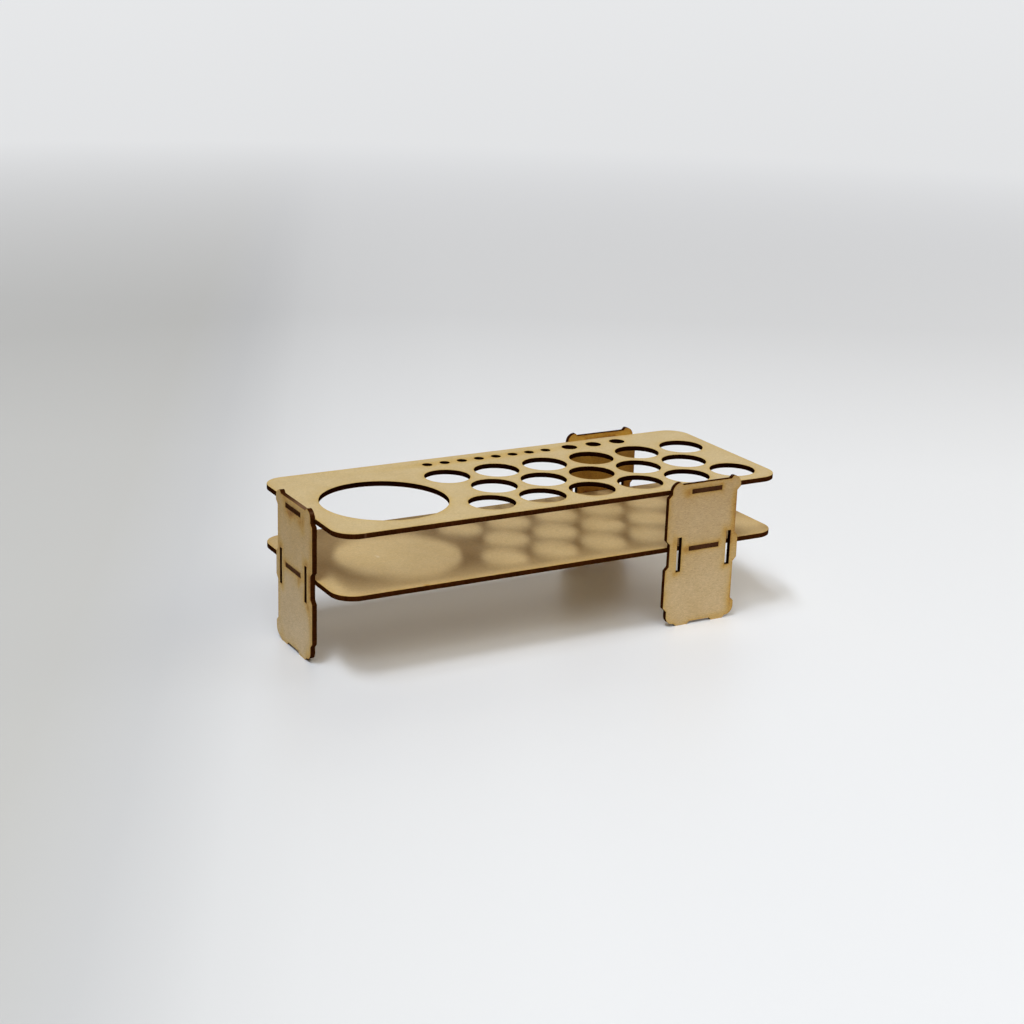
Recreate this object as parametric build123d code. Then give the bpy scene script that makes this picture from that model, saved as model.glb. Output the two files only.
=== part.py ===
from build123d import *
import os

# Paint shelf cut from thin MDF sheet: two tiers held by three identical legs.
# Millimetres, +Z up. The front faces -Y and the length runs along X.
# The origin lies on the table, at the centre of the whole shelf's footprint.

# The sheet, a nominal 3 mm board, and the play round a tab in its slot
sheet = 2.8
slot_clearance = 0.1

# Tiers
tier_length = 271.5
tier_depth = 106.0
tier_corner_radius = 12.5
tier_gap = 30.2
lower_tier_height = 43.4

# Water pot hole, as far from the left edge as from the front one
pot_hole_diameter = 69.0
pot_margin = 45.8

# Paint holes, in rows that nest like a honeycomb and fill the tier beside the pot hole
paint_hole_diameter = 25.6
paint_pitch = 31.0
paint_row_spacing = 25.8
paint_front_margin = 20.0
paint_right_margin = 20.0
least_web = 3.0

# Brush holes, in one row along the back edge that starts above the first paint hole
brush_back_margin = 10.0
thin_brush_diameter = 6.0
thin_brush_pitch = 10.96
thin_brush_count = 8
thick_brush_diameter = 9.4
thick_brush_pitch = 16.35
thick_brush_count = 3
brush_group_gap = 16.2

# Tabs on the edges of both tiers
tab_width = 19.8
front_leg_right_margin = 52.7
rear_leg_right_margin = 54.3
left_leg_front_margin = 53.5

# Leg outline. The legs nest side by side on the sheet, so both sides are the same line.
leg_width = 45.3
leg_jog = 2.2
first_jog_height = 9.4
waist_below_tier = 10.0
waist_above_tier = 2.3
ear_below_seat = 7.1
seat_above_tier = 2.9
nest_depth = 1.5
nest_clearance = 0.2
corner_radius = 5.0
foot_inset = 6.85
foot_length = 7.6

# Upright slots in the legs, one tab's size, for a joining piece to the next shelf
joiner_slot_inset = 6.25
joiner_slot_below_tier = 11.4

# Places that follow from the sizes above
tier_right = (tier_length + sheet) / 2
tier_left = tier_right - tier_length
tier_front = -tier_depth / 2
tier_back = tier_depth / 2
upper_tier_height = lower_tier_height + sheet + tier_gap
leg_seat = upper_tier_height + sheet + seat_above_tier
slot_length = tab_width + 2 * slot_clearance
slot_height = sheet + 2 * slot_clearance
front_leg_x = tier_right - front_leg_right_margin
rear_leg_x = tier_right - rear_leg_right_margin
left_leg_y = tier_front + left_leg_front_margin
foot_outer = leg_width / 2 - foot_inset
foot_inner = foot_outer - foot_length
joiner_slot_u = leg_width / 2 - joiner_slot_inset

# As many columns and rows of paint holes as the tier has room for
beside_pot = pot_margin + (pot_hole_diameter + paint_hole_diameter) / 2 + least_web
below_brushes = brush_back_margin + (thick_brush_diameter + paint_hole_diameter) / 2 + least_web
paint_columns = 1 + int((tier_length - paint_right_margin - beside_pot) / paint_pitch)
paint_rows = 1 + int((tier_depth - paint_front_margin - below_brushes) / paint_row_spacing)
first_paint_x = tier_right - paint_right_margin - (paint_columns - 1) * paint_pitch
first_paint_y = tier_front + paint_front_margin

# A corner is rounded by less than the straight run beside it
longest_round = 0.98
corner_run = foot_inset - nest_depth - nest_clearance
rounding = min(corner_radius, longest_round * corner_run)
same_place = 0.01


def paint_hole_centres():
    """Full rows and rows shifted by half a pitch, one hole shorter, in turn."""
    centres = []
    for row in range(paint_rows):
        shifted = row % 2
        for column in range(paint_columns - shifted):
            x = first_paint_x + (column + shifted / 2) * paint_pitch
            centres.append((x, first_paint_y + row * paint_row_spacing))
    return centres


def brush_hole_centres():
    """The thin holes, then the thick ones, in one line."""
    y = tier_back - brush_back_margin
    thin = [(first_paint_x + i * thin_brush_pitch, y) for i in range(thin_brush_count)]
    first_thick_x = thin[-1][0] + brush_group_gap
    thick = [(first_thick_x + i * thick_brush_pitch, y) for i in range(thick_brush_count)]
    return thin, thick


def discs(centres, diameter):
    return [Pos(x, y) * Circle(diameter / 2) for x, y in centres]


def tier_outline():
    """A rounded sheet with a tab for each leg, as long as the leg is thick."""
    outline = Pos((tier_left + tier_right) / 2, 0) * RectangleRounded(
        tier_length, tier_depth, tier_corner_radius
    )
    along_x = Rectangle(tab_width, 2 * sheet)
    along_y = Rectangle(2 * sheet, tab_width)
    outline += Pos(front_leg_x, tier_front) * along_x
    outline += Pos(rear_leg_x, tier_back) * along_x
    outline += Pos(tier_left, left_leg_y) * along_y
    return outline


def upper_tier():
    thin, thick = brush_hole_centres()
    holes = discs(paint_hole_centres(), paint_hole_diameter)
    holes += discs([(tier_left + pot_margin, tier_front + pot_margin)], pot_hole_diameter)
    holes += discs(thin, thin_brush_diameter)
    holes += discs(thick, thick_brush_diameter)
    return Pos(0, 0, upper_tier_height) * extrude(tier_outline() - holes, sheet)


def lower_tier():
    return Pos(0, 0, lower_tier_height) * extrude(tier_outline(), sheet)


def leg_left_side():
    """The left edge from bottom corner to ear, stepping out and in at 45 degrees."""
    inner = -leg_width / 2
    outer = inner - leg_jog
    waist_bottom = lower_tier_height - waist_below_tier
    waist_top = lower_tier_height + sheet + waist_above_tier
    bulges = [(first_jog_height, waist_bottom), (waist_top, leg_seat - ear_below_seat)]
    points = [(inner, nest_depth)]
    for out_height, in_height in bulges:
        points.append((inner, out_height))
        points.append((outer, out_height + leg_jog))
        points.append((outer, in_height))
        points.append((inner, in_height + leg_jog))
    points.append((inner, leg_seat + nest_depth))
    return points


def leg_top_notch():
    """The seat between the ears, where the feet of the next shelf stand."""
    seat_half = foot_outer + nest_clearance
    half = [(seat_half, leg_seat), (seat_half + nest_depth, leg_seat + nest_depth)]
    return [(-u, v) for u, v in reversed(half)] + half


def leg_bottom():
    """From right to left: raised corner, foot, recess, foot, raised corner."""
    half = [
        (foot_outer + nest_depth, nest_depth),
        (foot_outer, 0),
        (foot_inner, 0),
        (foot_inner - nest_depth, nest_depth),
    ]
    return half + [(-u, v) for u, v in reversed(half)]


def is_outer_corner(vertex):
    """True at the two bottom corners and at the tips of the two ears."""
    on_side = abs(abs(vertex.X) - leg_width / 2) < same_place
    at_bottom = abs(vertex.Y - nest_depth) < same_place
    at_top = abs(vertex.Y - leg_seat - nest_depth) < same_place
    return on_side and (at_bottom or at_top)


def leg_face():
    left_side = leg_left_side()
    right_side = [(u + leg_width, v) for u, v in left_side]
    points = left_side + leg_top_notch() + right_side[::-1] + leg_bottom()
    face = make_face(Polyline(*points, close=True))
    return fillet(face.vertices().filter_by(is_outer_corner), rounding)


def leg():
    """A leg that stands in front of the plane Y=0, centred on its slots."""
    tab_slot = Rectangle(slot_length, slot_height)
    joiner_slot = Rectangle(slot_height, slot_length)
    joiner_slot_centre = lower_tier_height - joiner_slot_below_tier + slot_length / 2
    face = leg_face()
    for height in (lower_tier_height, upper_tier_height):
        face -= Pos(0, height + sheet / 2) * tab_slot
    for side in (-1, 1):
        face -= Pos(side * joiner_slot_u, joiner_slot_centre) * joiner_slot
    return extrude(Plane.XZ * face, sheet)


def front_leg():
    return Pos(front_leg_x, tier_front, 0) * leg()


def rear_leg():
    return Pos(rear_leg_x, tier_back, 0) * Rot(0, 0, 180) * leg()


def left_leg():
    """The same leg turned over, so that its inner face lies outside."""
    return Pos(tier_left - sheet, left_leg_y, 0) * Rot(0, 0, 90) * leg()


pieces = {
    "upper_tier": upper_tier(),
    "lower_tier": lower_tier(),
    "front_leg": front_leg(),
    "rear_leg": rear_leg(),
    "left_leg": left_leg(),
}

os.makedirs("parts", exist_ok=True)
for name, piece in pieces.items():
    export_step(piece, f"parts/{name}.step")
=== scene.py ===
import math

import bmesh
import bpy
import numpy as np
from mathutils import Matrix, Vector, geometry, kdtree


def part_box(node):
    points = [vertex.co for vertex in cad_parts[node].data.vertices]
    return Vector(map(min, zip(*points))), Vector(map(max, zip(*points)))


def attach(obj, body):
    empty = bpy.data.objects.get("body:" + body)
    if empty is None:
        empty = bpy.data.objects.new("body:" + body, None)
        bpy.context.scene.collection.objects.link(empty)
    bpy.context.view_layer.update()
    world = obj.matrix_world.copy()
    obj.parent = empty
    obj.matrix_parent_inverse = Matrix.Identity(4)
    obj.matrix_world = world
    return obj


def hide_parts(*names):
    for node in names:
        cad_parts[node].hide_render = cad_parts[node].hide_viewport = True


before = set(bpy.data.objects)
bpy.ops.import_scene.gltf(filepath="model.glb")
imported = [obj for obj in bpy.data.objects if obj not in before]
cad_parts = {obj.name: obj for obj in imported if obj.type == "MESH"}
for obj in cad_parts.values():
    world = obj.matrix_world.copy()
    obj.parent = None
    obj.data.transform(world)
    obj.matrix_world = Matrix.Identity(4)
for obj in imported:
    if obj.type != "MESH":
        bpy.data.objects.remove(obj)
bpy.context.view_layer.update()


# Lower tier
# A plain sheet of raw MDF, nominally 3 mm thick, with rounded corners, that bottles and pots stand on.
# The laser cuts it out in one go, and its three tabs push into the lower slots of the legs.

mm = 0.001
lower_tier_tone = (0.570, 0.422, 0.212)
lower_board_place = (0, 0, 0)

# Steps between points along a cut and across a face, the room kept beside a cut, and its eased corners
cut_step = 0.5 * mm
face_step = 1.4 * mm
face_margin = 0.6 * face_step
cut_ease = 0.07 * mm

# What counts as one point, a face square to its axis, a round hole and an empty sliver
same_point = 0.01 * mm
square_on = 0.9
most_slot_points = 8
round_within = 0.02 * mm
same_corner = 0.0001 * mm
least_doubled_area = 0.0002 * mm * mm


def cut_lines(node, across):
    """The closed lines along which the laser cut a sheet, as points in the sheet's plane."""
    sheet = bmesh.new()
    sheet.from_mesh(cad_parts[node].data)
    bmesh.ops.remove_doubles(sheet, verts=sheet.verts, dist=same_point)
    in_plane = [axis for axis in range(3) if axis != across]
    face = {part for part in sheet.faces if part.normal[across] > square_on}

    # An edge with only one side on the face lies on a cut
    beside = {}
    for edge in sheet.edges:
        if sum(part in face for part in edge.link_faces) == 1:
            for here, there in (edge.verts, reversed(edge.verts)):
                beside.setdefault(here, []).append(there)

    lines = []
    while beside:
        point = next(iter(beside))
        line = []
        while point in beside:
            line.append([point.co[axis] for axis in in_plane])
            onward = [other for other in beside.pop(point) if other in beside]
            point = onward[0] if onward else None
        lines.append(np.array(line))
    sheet.free()
    return lines


def doubled_area(line):
    """Twice the area inside a closed line, or each of many, and below 0 where it runs clockwise."""
    ahead = np.roll(line, -1, axis=-2)
    return np.sum(line[..., 0] * ahead[..., 1] - line[..., 1] * ahead[..., 0], axis=-1)


def even_steps(line):
    """The same line with a point at least every cut_step, and with round holes truly round."""
    centre = (line.min(0) + line.max(0)) / 2
    radii = np.linalg.norm(line - centre, axis=1)
    if len(line) > most_slot_points and np.ptp(radii) < round_within:
        count = math.ceil(2 * math.pi * radii.mean() / cut_step)
        turn = np.linspace(0, 2 * math.pi, count, endpoint=False)
        return centre + radii.mean() * np.column_stack([np.cos(turn), np.sin(turn)])
    points = []
    for here, there in zip(line, np.roll(line, -1, axis=0)):
        count = max(1, math.ceil(np.linalg.norm(there - here) / cut_step))
        points += [here + (there - here) * step / count for step in range(count)]
    return np.array(points)


def moved_into_sheet(line, distance):
    """The line set back into the sheet, which lies on its left, with its corners mitred."""
    ahead = np.roll(line, -1, axis=0) - line
    ahead /= np.linalg.norm(ahead, axis=1)[:, None]
    left = np.column_stack([-ahead[:, 1], ahead[:, 0]])
    before = np.roll(left, 1, axis=0)
    spread = 1 + np.sum(left * before, axis=1)
    return line + distance * (left + before) / spread[:, None]


def inside(points, lines):
    """Which points lie on the sheet: those with an odd number of cuts to one side."""
    crossings = np.zeros(len(points), int)
    for line in lines:
        ahead = np.roll(line, -1, axis=0)
        for (x0, y0), (x1, y1) in zip(line, ahead):
            if y0 != y1:
                level = (points[:, 1] > y0) != (points[:, 1] > y1)
                beyond = x0 + (points[:, 1] - y0) * (x1 - x0) / (y1 - y0)
                crossings += level & (points[:, 0] < beyond)
    return crossings % 2 == 1


def distances_to(targets, points):
    """How far each point is from the nearest target, all of them in the sheet's plane."""
    tree = kdtree.KDTree(len(targets))
    for index, target in enumerate(targets):
        tree.insert((*target, 0), index)
    tree.balance()
    return np.array([tree.find((*point, 0))[2] for point in points])


def field_points(lines):
    """Points in rows across the sheet, for its faces to carry stains, clear of every cut."""
    low, high = lines[0].min(0), lines[0].max(0)
    row_gap = face_step * math.sqrt(3) / 2
    points = []
    for row, y in enumerate(np.arange(low[1], high[1], row_gap)):
        shift = face_step / 2 * (row % 2)
        points += [(x + shift, y) for x in np.arange(low[0], high[0], face_step)]
    points = np.array(points)
    points = points[inside(points, lines)]
    return points[distances_to(np.vstack(lines), points) > face_margin]


def filled_face(lines, rims, ring_edges):
    """The points and triangles of a face inside its rims, without empty slivers."""
    corners = [Vector(point) for point in np.vstack([*rims, field_points(lines)])]
    every_triangle = 0
    found = geometry.delaunay_2d_cdt(corners, ring_edges, [], every_triangle, same_corner, False)
    points = np.array(found[0])
    triangles = np.array(found[2])
    triangles = triangles[abs(doubled_area(points[triangles])) > least_doubled_area]
    return points, triangles[inside(points[triangles].mean(axis=1), rims)]


def stains(points, places):
    """How much smoke or char the listed places leave at each point: (u, v, wide, high, strength)."""
    total = np.zeros(len(points))
    for u, v, wide, high, strength in places:
        reach = ((points[:, 0] - u) / wide) ** 2 + ((points[:, 1] - v) / high) ** 2
        total += strength * np.exp(-reach)
    return total


def store(mesh, name, values):
    """Keep a number, or a row of three, at each point of the mesh for its finishes to read."""
    if values.ndim == 1:
        mesh.attributes.new(name, "FLOAT", "POINT").data.foreach_set("value", values)
    else:
        mesh.attributes.new(name, "FLOAT_VECTOR", "POINT").data.foreach_set("vector", values.ravel())


def laser_cut_sheet(node, across, face_finish, cut_finish, patches=(), pale_and_sheen_spots=(),
                    plus_share=1.0, plus_patches=(), plus_pale=()):
    """A cut sheet in the place of its node, with eased corners and what its finishes need to know.

    The axis across the sheet is 0, 1 or 2 for X, Y or Z, and its plus side faces along that axis.
    That side shows only a share of the smoke patches, and can have patches and pale spots of its own.
    """
    low, high = (corner[across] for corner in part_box(node))

    # The outline comes first and runs anticlockwise, and the holes after it run clockwise
    lines = sorted(cut_lines(node, across), key=lambda line: -abs(doubled_area(line)))
    turned = [(doubled_area(line) > 0) != (index == 0) for index, line in enumerate(lines)]
    lines = [even_steps(line[::-1] if turn else line) for line, turn in zip(lines, turned)]
    rims = [moved_into_sheet(line, cut_ease) for line in lines]
    ring_edges = []
    start = 0
    for line in lines:
        ring_edges += [(start + step, start + (step + 1) % len(line)) for step in range(len(line))]
        start += len(line)

    # From the plus side down: a face, the two edges of the charred wall, and the other face
    face, triangles = filled_face(lines, rims, ring_edges)
    wall = np.vstack(lines)
    layers = (face, wall, wall, face)
    levels = (high, high - cut_ease, low + cut_ease, low)
    layer_sizes = [len(layer) for layer in layers]
    layer_starts = np.cumsum([0] + layer_sizes)
    placed = np.vstack([np.insert(layer, across, level, axis=1) for layer, level in zip(layers, levels)])
    faces = [tuple(triangle + layer_starts[0]) for triangle in triangles]
    faces += [tuple(triangle[::-1] + layer_starts[3]) for triangle in triangles]
    first_band = len(faces)
    for upper, lower in zip(layer_starts[:3], layer_starts[1:4]):
        faces += [(here + upper, here + lower, there + lower, there + upper) for here, there in ring_edges]

    # The middle band is the charred wall, and the eased corners beside it keep the face's finish
    name = f"{node}_sheet"
    mesh = bpy.data.meshes.new(name)
    mesh.from_pydata(placed.tolist(), [], faces)
    for polygon in mesh.polygons[first_band + len(ring_edges):first_band + 2 * len(ring_edges)]:
        polygon.material_index = 1
        polygon.use_smooth = True
    shape = bmesh.new()
    shape.from_mesh(mesh)
    bmesh.ops.recalc_face_normals(shape, faces=shape.faces)
    shape.to_mesh(mesh)
    shape.free()

    in_plane = np.vstack(layers)
    depth = np.repeat([(high - level) / mm for level in levels], layer_sizes)
    plus_side = np.repeat((1, 1, 0, 0), layer_sizes)
    plus_face = np.repeat((1, 0, 0, 0), layer_sizes)
    smoke = np.where(plus_side, plus_share, 1.0) * stains(in_plane, patches)
    smoke += plus_side * stains(in_plane, plus_patches)
    in_hole = np.concatenate([np.full(len(line), float(index > 0)) for index, line in enumerate(lines)])
    off_cut = np.zeros(len(face))
    store(mesh, "to_cut", distances_to(wall, in_plane) / mm)
    store(mesh, "on_sheet", np.column_stack([in_plane / mm, depth]))
    store(mesh, "stain", smoke)
    # Pale spots: paler board, and where listed a painted sheen on an edge
    store(mesh, "pale_and_sheen", stains(in_plane, pale_and_sheen_spots) + plus_face * stains(in_plane, plus_pale))
    # The walls of holes and closed slots are marked here for painted shade, as if shade filled each hole
    store(mesh, "painted_hole_shade", np.concatenate([off_cut, in_hole, in_hole, off_cut]))

    mesh.materials.append(face_finish)
    mesh.materials.append(cut_finish)
    piece = bpy.data.objects.new(name, mesh)
    bpy.context.scene.collection.objects.link(piece)
    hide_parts(node)
    return piece


def new_finish(name):
    """An empty finish and its shader."""
    finish = bpy.data.materials.new(name)
    finish.use_nodes = True
    return finish, finish.node_tree.nodes["Principled BSDF"]


def connect(finish, node, inputs):
    """Give a node's inputs plain values or the outputs of other nodes."""
    for socket, value in inputs.items():
        if isinstance(value, bpy.types.NodeSocket):
            finish.node_tree.links.new(value, node.inputs[socket])
        else:
            node.inputs[socket].default_value = value


def add_node(finish, kind, inputs, **settings):
    """The outputs of a new node in a finish."""
    made = finish.node_tree.nodes.new(kind)
    for setting, value in settings.items():
        setattr(made, setting, value)
    connect(finish, made, inputs)
    return made.outputs


def reckon(finish, operation, first, *others):
    """The values reckoned together from left to right. An exponent takes the first value alone."""
    for other in others or (0.0,):
        first = add_node(finish, "ShaderNodeMath", {0: first, 1: other}, operation=operation)[0]
    return first


def between(finish, value, low, high, to_low=0.0, to_high=1.0):
    """The value moved from one range into another, and kept inside it."""
    return add_node(finish, "ShaderNodeMapRange", {
        "Value": value, "From Min": low, "From Max": high, "To Min": to_low, "To Max": to_high,
    })[0]


def colour(red, green, blue, over=(1, 1, 1)):
    """A colour as a shader takes it, laid over another one where that is given."""
    return (red * over[0], green * over[1], blue * over[2], 1.0)


def blended(finish, amount, first, second, how="MIX"):
    """Two colours mixed. Socket 0 takes the amount, 6 and 7 take the colours, and 2 gives their mix."""
    mixed = add_node(finish, "ShaderNodeMix", {
        0: amount, 6: first, 7: second,
    }, data_type="RGBA", blend_type=how)
    return mixed[2]


def tinted(finish, base, tint):
    """A colour darkened or lightened by a tint."""
    return blended(finish, 1.0, base, tint, "MULTIPLY")


def ramp(finish, value, steps):
    """The colour for a value, from (place, colour) steps of which the first is at 0 and the last at 1."""
    found = add_node(finish, "ShaderNodeValToRGB", {"Fac": value})[0]
    places = found.node.color_ramp.elements
    places[0].color = steps[0][1]
    places[1].color = steps[-1][1]
    for place, tint in steps[1:-1]:
        places.new(place).color = tint
    return found


def stored(finish, name):
    """The number that the sheet's mesh stores under this name at each point."""
    return add_node(finish, "ShaderNodeAttribute", {}, attribute_name=name)["Fac"]


def on_sheet(finish):
    """Where a point lies on its sheet, in millimetres, with its depth below the plus side."""
    return add_node(finish, "ShaderNodeAttribute", {}, attribute_name="on_sheet")["Vector"]


def on_board(finish, board_place):
    """Where it lay on the stock board, so that no two sheets have the same fibres."""
    place = on_sheet(finish)
    return add_node(finish, "ShaderNodeVectorMath", {0: place, 1: board_place}, operation="ADD")[0]


def speckle(finish, place, scale, detail=3.0, stretch=(1, 1, 1), turn=0.0):
    """Noise from 0 to 1, for a place in millimetres and a scale in spots per millimetre."""
    laid = add_node(finish, "ShaderNodeMapping", {
        "Vector": place, "Scale": stretch, "Rotation": (0, 0, math.radians(turn)),
    })[0]
    return add_node(finish, "ShaderNodeTexNoise", {
        "Vector": laid, "Scale": scale, "Detail": detail, "Roughness": 0.6,
    })[0]


def speckled(finish, noise, low, high, first, second):
    """The first colour where the noise is low, and the second where it is high."""
    return blended(finish, between(finish, noise, low, high), first, second)


def strands(finish, place, turns, scale, stretch, low, high):
    """Long thin specks that lie at several turns: 1 on a strand and 0 beside it."""
    laid = [speckle(finish, place, scale, detail=1.5, stretch=stretch, turn=turn) for turn in turns]
    return reckon(finish, "MAXIMUM", *(between(finish, noise, low, high) for noise in laid))


def fading(finish, distance, rate):
    """1 at the cut, and less and less away from it, at a rate per millimetre."""
    return reckon(finish, "EXPONENT", reckon(finish, "MULTIPLY", distance, -rate))


def raw_mdf(node, tone, smoke, board_place, painted_top_shade=(1, 1, 1)):
    """Sanded MDF: fibres lying all ways, faint clouds, and laser smoke that browns it beside each cut.

    Smoke is how strongly it browns the board beside a cut. The board place is where on the stock
    board the sheet was cut, in millimetres, and the top shade is painted shade that darkens a leg higher
    up.
    """
    finish, shader = new_finish(f"raw_mdf_{node}")
    place = on_board(finish, board_place)

    clouds = speckle(finish, place, scale=0.055, detail=4.0)
    mottle = speckle(finish, place, scale=0.35, detail=5.0)
    dust = speckle(finish, place, scale=2.6, detail=4.0)
    lint = strands(
        finish, place, turns=(12, 57, 101, 148), scale=1.0, stretch=(0.42, 3.4, 1), low=0.60, high=0.72)
    shreds = strands(
        finish, place, turns=(35, 80, 125, 170), scale=1.2, stretch=(0.5, 3.0, 1), low=0.61, high=0.75)
    body = speckled(
        finish, clouds, 0.38, 0.62, colour(0.965, 0.945, 0.90, tone), colour(1.03, 1.035, 1.05, tone))
    body = tinted(finish, body, speckled(
        finish, mottle, 0.3, 0.7, colour(0.93, 0.925, 0.915), colour(1.06, 1.06, 1.06)))
    body = tinted(finish, body, speckled(
        finish, dust, 0.3, 0.7, colour(0.93, 0.92, 0.90), colour(1.06, 1.065, 1.07)))
    body = blended(finish, lint, body, colour(1.22, 1.22, 1.22, tone))
    body = blended(finish, shreds, body, colour(0.72, 0.66, 0.58, tone))
    # Pale spots show bare fibres, and on the left leg's top edge a painted sheen where light glances off it
    bare_fibres_and_sheen = colour(0.80, 0.70, 0.50)
    body = blended(finish, stored(finish, "pale_and_sheen"), body, bare_fibres_and_sheen)

    # On a leg, the second number of a place on the sheet is its height, and painted shade darkens it from
    # 15 to 75 mm up
    height = add_node(finish, "ShaderNodeSeparateXYZ", {0: on_sheet(finish)})["Y"]
    body = tinted(finish, body, speckled(finish, height, 15.0, 75.0, colour(1, 1, 1), colour(*painted_top_shade)))

    # Smoke is a scorch at the cut, a halo beside it, a faint drift farther out, and the sheet's patches
    to_cut = stored(finish, "to_cut")
    puffs = between(finish, speckle(finish, place, scale=0.16), 0.32, 0.68, to_low=0.45, to_high=1.5)
    wisps = between(finish, speckle(finish, place, scale=0.9), 0.25, 0.75, to_low=0.75, to_high=1.25)
    scorch = reckon(finish, "MULTIPLY", fading(finish, to_cut, rate=3.0), 0.22)
    halo = reckon(finish, "MULTIPLY", fading(finish, to_cut, rate=0.75), puffs, smoke)
    drift = reckon(finish, "MULTIPLY", fading(finish, to_cut, rate=0.22), puffs, 0.35 * smoke)
    settled = reckon(finish, "ADD", halo, drift, stored(finish, "stain"))
    browning = reckon(finish, "ADD", scorch, reckon(finish, "MULTIPLY", settled, wisps))

    # The more smoke there is, the less any more of it browns the board
    limit = reckon(finish, "ADD", reckon(finish, "MULTIPLY", browning, 0.45), 0.85)
    browned = ramp(finish, reckon(finish, "DIVIDE", browning, limit), (
        (0.0, colour(1, 1, 1)),
        (0.3, colour(0.96, 0.87, 0.59)),
        (0.55, colour(0.90, 0.73, 0.33)),
        (0.8, colour(0.65, 0.42, 0.13)),
        (1.0, colour(0.24, 0.11, 0.035)),
    ))

    loose = reckon(finish, "MULTIPLY", reckon(finish, "SUBTRACT", lint, shreds), 0.5)
    relief = reckon(finish, "ADD", dust, loose)
    connect(finish, shader, {
        "Base Color": tinted(finish, body, browned),
        "Normal": add_node(finish, "ShaderNodeBump", {
            "Height": relief, "Distance": 0.03 * mm, "Strength": 0.6,
        })[0],
        "Roughness": between(finish, mottle, 0.3, 0.7, to_low=0.58, to_high=0.72),
        "Specular IOR Level": 0.35,
    })
    return finish


def charred_cut(node, board_place):
    """The cut wall of a sheet: glazed dark char with fine upright streaks from the laser's pulses."""
    finish, shader = new_finish(f"charred_cut_{node}")
    place = on_board(finish, board_place)
    streaks = speckle(finish, place, scale=2.4, stretch=(1, 1, 0.12))
    burn = speckle(finish, place, scale=0.12, stretch=(1, 1, 0.4))
    deep_char = colour(0.028, 0.0062, 0.0010)
    brown_char = colour(0.066, 0.0190, 0.0042)
    # Greyed char for pale spots on a wall, which on the left leg's top edge is a painted sheen
    greyed_char_and_sheen = colour(0.30, 0.17, 0.10)
    burnt_tint = colour(0.62, 0.58, 0.55)
    # Painted shade: the walls of holes and closed slots are drawn darker, as if shade filled each hole
    painted_hole_shade_tint = colour(0.30, 0.23, 0.18)
    char = speckled(finish, streaks, 0.36, 0.68, deep_char, brown_char)
    char = speckled(finish, burn, 0.35, 0.7, char, tinted(finish, char, burnt_tint))
    char = blended(finish, stored(finish, "painted_hole_shade"), char, tinted(finish, char, painted_hole_shade_tint))
    connect(finish, shader, {
        "Base Color": blended(finish, stored(finish, "pale_and_sheen"), char, greyed_char_and_sheen),
        "Normal": add_node(finish, "ShaderNodeBump", {
            "Height": streaks, "Distance": 0.08 * mm, "Strength": 0.7,
        })[0],
        "Roughness": between(finish, streaks, 0.3, 0.7, to_low=0.45, to_high=0.6),
        "Specular IOR Level": 0.0,
    })
    return finish


def marks(places, middle=0.0, way=1):
    """Places on a sheet from rows of millimetres and a strength, reckoned one way from a middle."""
    return [
        (middle + way * u * mm, v * mm, wide * mm, high * mm, strength)
        for u, v, wide, high, strength in places
    ]


lower_tier = laser_cut_sheet(
    "lower_tier", across=2,
    face_finish=raw_mdf("lower_tier", lower_tier_tone, 0.20, lower_board_place),
    cut_finish=charred_cut("lower_tier", lower_board_place),
    patches=marks([(-85.5, -52.4, 0.8, 0.6, 2.0)]),
    pale_and_sheen_spots=marks([
        (-89.5, -1.8, 0.5, 1.6, 0.8),
        (84.4, -55.8, 14.0, 0.8, 0.10),
        (-137.1, 0.5, 0.8, 14.0, 0.20),
    ]),
)
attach(lower_tier, "root")


# Front leg
# An upright sheet of the same MDF with ears at its top, feet at its bottom and stepped sides.
# It is pushed onto a tab of each tier, and smoke has browned it at the ends of its slots.

front_leg_tone = (0.580, 0.432, 0.238)
front_board_place = (310, 40, 0)


def middle_of(node, along):
    """Where the middle of a piece lies along an axis."""
    low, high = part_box(node)
    return (low[along] + high[along]) / 2


front_middle = middle_of("front_leg", along=0)
front_leg = laser_cut_sheet(
    "front_leg", across=1,
    # The top tint is painted shade: the face is drawn darker higher up, away from the floor's bounce light
    face_finish=raw_mdf("front_leg", front_leg_tone, 0.30, front_board_place, painted_top_shade=(0.84, 0.80, 0.76)),
    cut_finish=charred_cut("front_leg", front_board_place),
    patches=marks([
        (-11.5, 77.5, 2.3, 2.5, 0.80),
        (-14.8, 78.2, 3.0, 2.8, 0.12),
        (-11.0, 44.4, 2.0, 2.0, 0.75),
        (-13.0, 48.0, 3.4, 3.2, 0.15),
        (11.0, 79.0, 1.8, 1.6, 0.28),
        (11.6, 45.6, 2.4, 2.6, 0.36),
        (-18.6, 49.5, 1.5, 4.5, 0.43),
        (-19.4, 40.0, 1.5, 8.0, 0.28),
        (-16.7, 31.2, 1.9, 1.5, 0.55),
        (15.0, 51.0, 2.0, 3.4, 0.55),
        (19.8, 47.0, 1.9, 7.5, 0.48),
        (20.0, 55.0, 2.2, 5.0, 0.20),
        (15.7, 31.4, 1.8, 1.5, 0.52),
        (20.3, 66.5, 2.1, 7.5, 0.56),
        (21.6, 58.0, 1.5, 12.0, 0.25),
        (21.4, 9.0, 2.3, 7.5, 0.64),
        (21.6, 22.0, 1.4, 10.0, 0.30),
        (13.0, 2.2, 7.0, 1.4, 0.25),
    ], front_middle),
    plus_share=0.5,
)
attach(front_leg, "root")


# Rear leg
# The same leg behind the shelf, turned half round so that its outer side faces back.
# Its inner side lay down under the laser, so smoke has browned nearly all of it.

rear_leg_tone = (0.540, 0.378, 0.118)
rear_board_place = (520, 90, 0)
rear_middle = middle_of("rear_leg", along=0)

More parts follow.
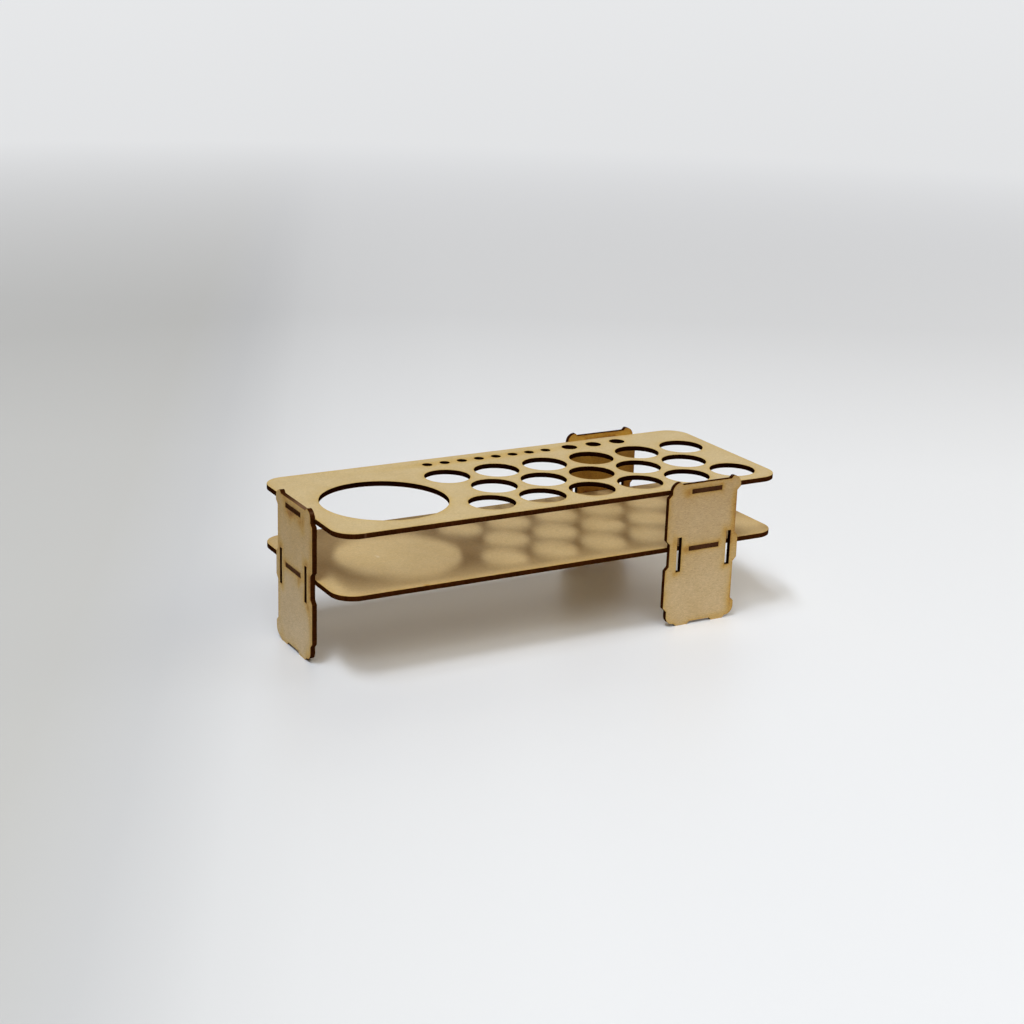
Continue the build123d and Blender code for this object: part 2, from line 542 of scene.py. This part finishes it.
# A mark as wide as this is even all over its sheet
all_over = 400.0

rear_leg = laser_cut_sheet(
    "rear_leg", across=1,
    face_finish=raw_mdf("rear_leg", rear_leg_tone, 0.38, rear_board_place),
    cut_finish=charred_cut("rear_leg", rear_board_place),
    patches=marks([
        (0.0, 30.0, 80.0, 52.0, 0.95),
        (-17.5, 50.0, 2.0, 5.0, 0.22),
        (17.5, 31.0, 2.0, 3.0, 0.22),
    ], rear_middle),
    plus_share=0.12,
    plus_pale=marks([(0.0, 42.0, all_over, all_over, 0.28)], rear_middle),
)
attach(rear_leg, "root")


# Left leg
# The same leg again, turned over, so that the side that lay down under the laser is outside.
# More smoke gathered on that side, as brown drops below the slots' ends.

left_leg_tone = (0.610, 0.470, 0.280)
left_board_place = (740, 10, 0)
left_middle = middle_of("left_leg", along=1)

# Marks on this leg are measured from its middle towards the front, against the Y axis
toward_front = -1
left_leg = laser_cut_sheet(
    "left_leg", across=0,
    # The top tint is painted shade: the face is drawn darker higher up, away from the floor's bounce light
    face_finish=raw_mdf("left_leg", left_leg_tone, 0.34, left_board_place, painted_top_shade=(0.93, 0.89, 0.84)),
    cut_finish=charred_cut("left_leg", left_board_place),
    patches=marks([
        (-5.0, 74.6, 5.5, 2.2, 0.84),
        (-4.6, 71.5, 1.6, 2.2, 0.22),
        (8.0, 73.6, 3.4, 2.4, 0.60),
        (12.4, 76.0, 2.0, 3.6, 0.50),
        (11.8, 70.0, 2.4, 2.6, 0.28),
        (-13.2, 80.0, 2.6, 3.0, 0.31),
        (-11.8, 45.4, 1.7, 1.8, 0.76),
        (6.6, 41.2, 2.0, 2.6, 0.50),
        (6.2, 38.6, 1.0, 1.8, 0.28),
        (11.8, 43.8, 1.8, 2.0, 0.48),
        (16.2, 53.4, 2.6, 2.4, 0.75),
        (11.8, 50.5, 1.2, 5.0, 0.22),
        (20.2, 43.0, 2.2, 9.5, 0.82),
        (18.0, 30.2, 2.0, 2.6, 0.82),
        (20.6, 26.0, 1.9, 5.5, 0.42),
        (-17.2, 53.4, 2.2, 2.8, 0.53),
        (-19.4, 44.0, 1.6, 9.0, 0.28),
        (-14.0, 42.5, 1.2, 8.5, 0.31),
        (-15.6, 30.6, 1.4, 1.8, 0.42),
        (21.8, 60.0, 1.2, 15.0, 0.34),
        (22.0, 14.0, 1.5, 9.0, 0.34),
        (19.0, 4.0, 3.4, 3.6, 0.34),
        (-16.0, 5.0, 2.6, 4.0, 0.17),
        (0.0, 74.0, 30.0, 30.0, 0.17),
    ], left_middle, toward_front),
    pale_and_sheen_spots=marks([
        # The first spot is a painted sheen along the leg's top edge, drawn paler where light glances off it
        (7.0, 82.1, 13.0, 0.6, 0.50),
        (16.4, 42.0, 1.9, 11.0, 0.34),
        (-16.4, 42.0, 1.9, 11.0, 0.36),
    ], left_middle, toward_front),
    plus_share=0.5,
)
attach(left_leg, "root")


# Upper tier
# A sheet of the lower tier's outline, with round holes for paint bottles, a water pot and brushes.
# Its three tabs push into the upper slots of the legs, and the cuts of its holes are painted darker, as
# painted shade inside the holes.

upper_tier_tone = (0.554, 0.442, 0.266)
upper_board_place = (90, 260, 0)
upper_tier = laser_cut_sheet(
    "upper_tier", across=2,
    face_finish=raw_mdf("upper_tier", upper_tier_tone, 0.18, upper_board_place),
    cut_finish=charred_cut("upper_tier", upper_board_place),
    patches=marks([
        (0.0, 0.0, all_over, all_over, 0.85),
        (-115.0, 0.0, 90.0, 90.0, 0.40),
    ]),
    pale_and_sheen_spots=marks([
        (-120.6, -53.0, 0.45, 0.6, 0.22),
        (84.4, -55.8, 14.0, 0.8, 0.09),
        (-137.1, 0.5, 0.8, 14.0, 0.07),
    ]),
    plus_share=0.08,
    plus_patches=marks([(-4.0, 43.5, 52.0, 4.5, 0.34)]),
)
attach(upper_tier, "root")


# Floor
# A broad pale tabletop with a satin surface, which takes the shelf's soft shadow and a dim blurred
# reflection. Painted shade darkens its colour to the left and a little at the back, and far off it turns
# as pale as the room.

floor_half = 12.0
lit_tone = (0.850, 0.872, 0.936)
shaded_tone = (0.550, 0.557, 0.570)
toward_shade = (-0.91, 0.42, 0)
toward_back = (0.50, 0.87, 0)
back_share = 0.845
far_glow = 0.58

# Where the tabletop's painted shade starts and stops, to the left and at the back, and where it turns
# into a pale glow far off, in metres from under the shelf's middle
shade_span = (-0.155, 0.245)
back_span = (0.30, 0.82)
far_span = (0.80, 2.2)

floor_mesh = bpy.data.meshes.new("floor")
corner_signs = ((-1, -1), (1, -1), (1, 1), (-1, 1))
floor_mesh.from_pydata([(x * floor_half, y * floor_half, 0) for x, y in corner_signs], [], [(0, 1, 2, 3)])
floor = bpy.data.objects.new("floor", floor_mesh)
bpy.context.scene.collection.objects.link(floor)
tabletop, satin = new_finish("pale_tabletop")
spot = add_node(tabletop, "ShaderNodeTexCoord", {})["Object"]


def metres_toward(way):
    """How far a spot of the tabletop lies from under the shelf's middle, in one direction."""
    return add_node(tabletop, "ShaderNodeVectorMath", {0: spot, 1: way}, operation="DOT_PRODUCT")["Value"]


# How much of the lit tone is left at places along the painted shade, which ends in the shaded tone
shares = (
    (0.0, 1.0), (0.40, 0.98), (0.55, 0.945), (0.66, 0.915), (0.75, 0.85), (0.80, 0.775), (0.87, 0.69),
)
steps = [(place, colour(share, share, share, lit_tone)) for place, share in shares]
steps.append((1.0, colour(*shaded_tone)))
painted_left_shade = ramp(tabletop, between(tabletop, metres_toward(toward_shade), *shade_span), steps)
distance = add_node(tabletop, "ShaderNodeVectorMath", {0: spot}, operation="LENGTH")["Value"]
far_off = between(tabletop, distance, *far_span)
nearness = reckon(tabletop, "SUBTRACT", 1.0, far_off)
# Painted shade also dims the tabletop's colour a little towards the back
behind = between(tabletop, metres_toward(toward_back), *back_span, to_low=1.0, to_high=back_share)
brightness = reckon(tabletop, "MULTIPLY", behind, nearness)
dimmed = add_node(tabletop, "ShaderNodeVectorMath", {0: painted_left_shade, "Scale": brightness}, operation="SCALE")[0]
seen = add_node(tabletop, "ShaderNodeLightPath", {})["Is Camera Ray"]
connect(tabletop, satin, {
    "Base Color": dimmed,
    "Emission Strength": reckon(tabletop, "MULTIPLY", far_off, seen, far_glow),
    "Emission Color": colour(0.98, 0.99, 1.0),
    "Roughness": 0.42,
    "Specular IOR Level": 0.9,
})
floor_mesh.materials.append(tabletop)


# Light and camera
# A long narrow window light overhead, in front and to the left, brightest in its middle pane.
# The room round it is pale and throws a little warm light back into the shade.

scene = bpy.context.scene

# The spot that every lamp faces, the way that the window's long side runs, and each lamp's place in
# metres, width, length, power in watts and tint
lit_spot = Vector((-0.03, -0.01, 0.046))
window_along = Vector((0.430, 0.903, 0))
lamps = (
    ("window_middle", (-1.567, -0.635, 4.45), 0.50, 0.97, 66.5, (0.916, 0.966, 1.0)),
    ("window_near_end", (-2.195, -1.954, 4.45), 0.50, 1.95, 45.0, (0.93, 0.995, 1.0)),
    ("window_far_end", (-1.148, 0.244, 4.45), 0.50, 0.97, 39.0, (0.86, 0.94, 1.0)),
    ("right_wall", (1.5, -0.3, 0.8), 1.2, 1.2, 5.2, (1.0, 0.96, 0.82)),
    ("right_ceiling", (1.2, -0.6, 1.8), 1.0, 1.0, 3.4, (1.0, 1.0, 0.96)),
    ("near_ceiling", (-0.25, -1.3, 1.5), 1.0, 1.0, 8.9, (0.97, 1.0, 0.985)),
    ("near_right", (0.6, -1.2, 1.3), 1.0, 1.0, 2.6, (1.0, 0.85, 0.48)),
    ("far_ceiling", (0.3, 1.2, 1.4), 1.0, 1.0, 2.6, (1.0, 0.90, 0.60)),
)
for name, place, wide, long, power, tint in lamps:
    light = bpy.data.lights.new(name, "AREA")
    light.shape = "RECTANGLE"
    light.size = wide
    light.size_y = long
    light.energy = power
    light.color = tint
    lamp = bpy.data.objects.new(name, light)
    toward_lamp = (Vector(place) - lit_spot).normalized()
    sideways = window_along.cross(toward_lamp).normalized()
    lengthways = toward_lamp.cross(sideways)
    lamp.rotation_euler = Matrix((sideways, lengthways, toward_lamp)).transposed().to_euler()
    lamp.location = place
    scene.collection.objects.link(lamp)

# The room lights the shelf with its warm bounce, while the camera and reflections see its pale wall
warm_bounce = colour(0.070, 0.032, 0.006)
pale_wall = colour(0.80, 0.81, 0.83)
room = bpy.data.worlds.new("room")
scene.world = room
room.use_nodes = True
rays = add_node(room, "ShaderNodeLightPath", {})
seen_by = [rays[f"Is {kind} Ray"] for kind in ("Camera", "Glossy", "Transmission")]
walls = blended(room, reckon(room, "MAXIMUM", *seen_by), warm_bounce, pale_wall)
connect(room, room.node_tree.nodes["Background"], {"Color": walls})

# The camera's place, aim, roll and lens come from a fit to the shelf's holes and legs in the photo
camera_place = Vector((-0.49797, -0.85867, 0.37667))
camera_aim = Vector((0.02431, 0.05417, 0.04))
camera_roll = math.radians(1.907)
camera_data = bpy.data.cameras.new("camera")
camera_data.sensor_width = 36.0
camera_data.lens = 66.006
camera = bpy.data.objects.new("camera", camera_data)
scene.collection.objects.link(camera)
aimed = (camera_aim - camera_place).to_track_quat("-Z", "Y").to_matrix()
camera.rotation_euler = (aimed @ Matrix.Rotation(camera_roll, 3, "Z")).to_euler()
camera.location = camera_place
scene.camera = camera
scene.view_settings.view_transform = "Standard"
